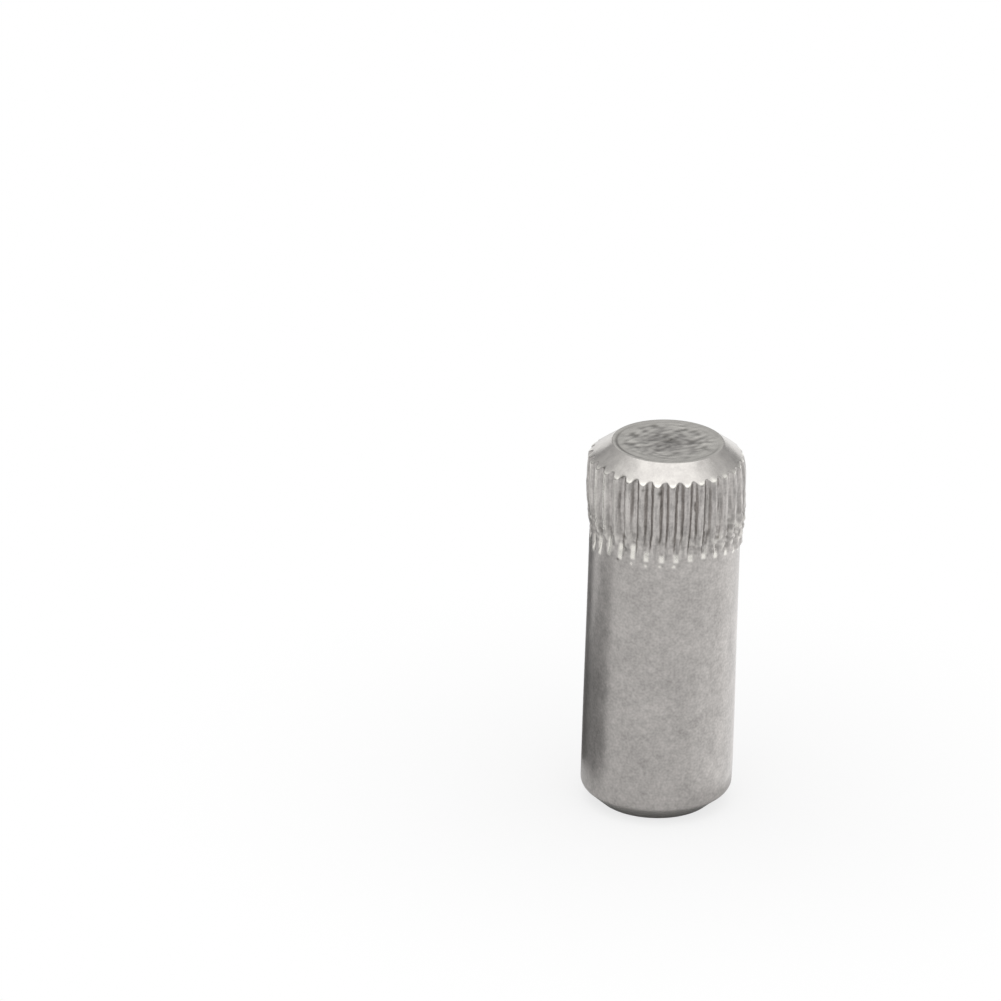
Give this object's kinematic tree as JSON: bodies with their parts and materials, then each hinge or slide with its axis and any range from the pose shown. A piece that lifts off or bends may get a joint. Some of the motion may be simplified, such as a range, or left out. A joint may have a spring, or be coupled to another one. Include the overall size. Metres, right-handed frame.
{
  "type": "knurled pin",
  "caption": "Short straight steel pin with a plain chamfered end and a straight knurl round the other end, whose grooves run out into the shank.",
  "frame": {"origin": "centre of the plain end's flat face, which the pin stands on", "axes": "+Z along the pin's axis, from the plain end to the knurled end; the middle of a knurl groove is on +X and another on +Y"},
  "size_m": [0.0084, 0.0084, 0.0203],
  "materials": {
    "stainless_steel": "satin"
  },
  "bodies": {
    "root": {"knurled_pin": "stainless_steel"}
  },
  "joints": []
}
